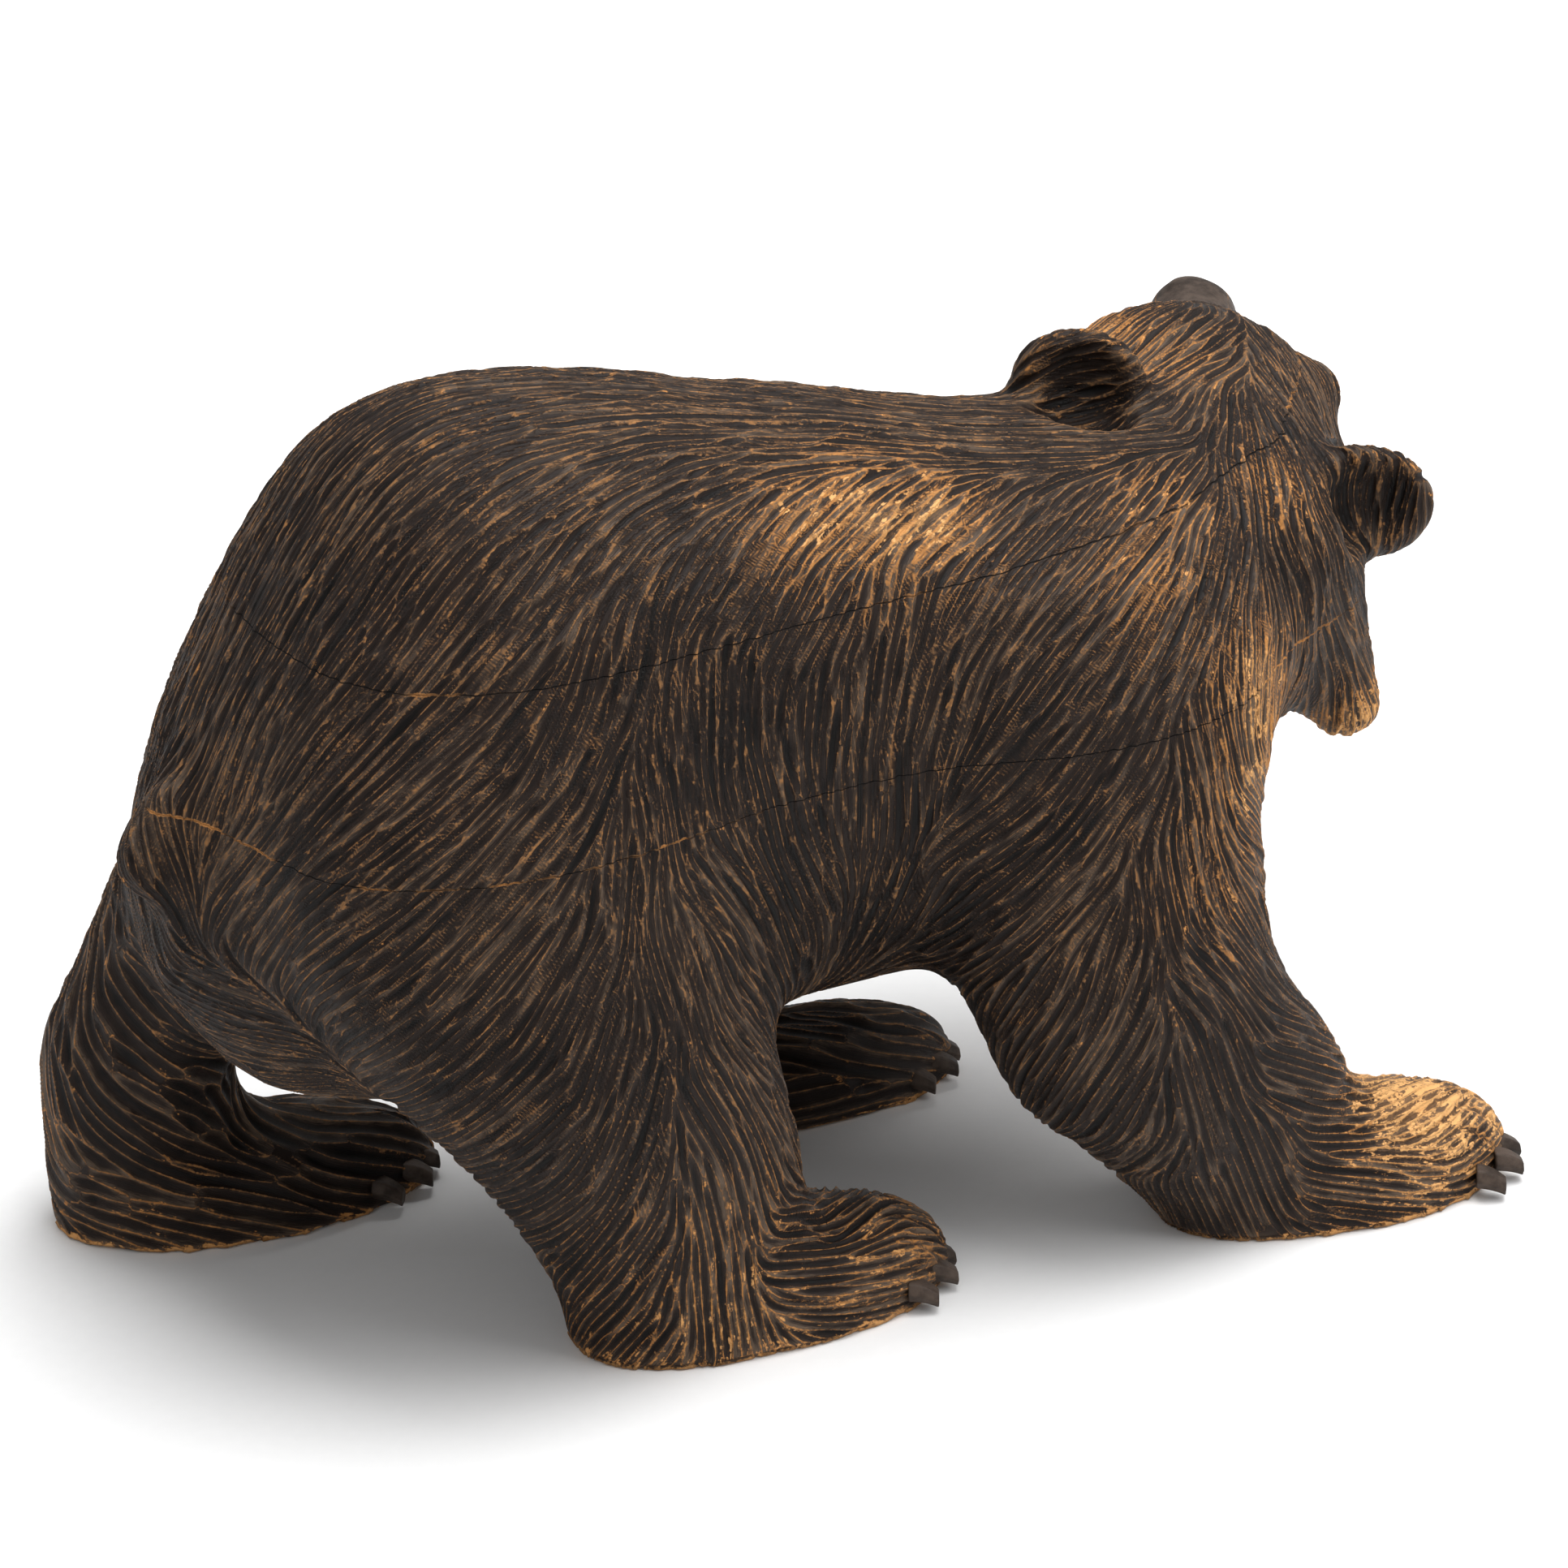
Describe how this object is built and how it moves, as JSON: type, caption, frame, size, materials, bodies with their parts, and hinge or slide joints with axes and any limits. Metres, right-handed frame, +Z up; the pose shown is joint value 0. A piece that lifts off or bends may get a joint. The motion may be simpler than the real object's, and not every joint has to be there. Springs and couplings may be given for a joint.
{
  "type": "carved wooden bear figurine",
  "caption": "Carved wooden bear, walking with its head raised and turned to its left, dark stained fur cut with a gouge and lighter rubbed crests.",
  "frame": {"origin": "the middle of the figure's footprint, on the surface it stands on", "axes": "+X the way the bear walks, +Y to the bear's left, +Z up"},
  "size_m": [0.293, 0.1558, 0.1887],
  "materials": {
    "stained_wood": "satin",
    "dowel_wood": "matte",
    "eye_glass": "gloss"
  },
  "bodies": {
    "root": {"lower_board": "stained_wood", "middle_board": "stained_wood", "upper_board": "stained_wood", "lower_dowel_rear": "dowel_wood", "lower_dowel_front": "dowel_wood", "upper_dowel_rear": "dowel_wood", "upper_dowel_front": "dowel_wood", "eye_left": "eye_glass", "eye_right": "eye_glass"}
  },
  "joints": []
}
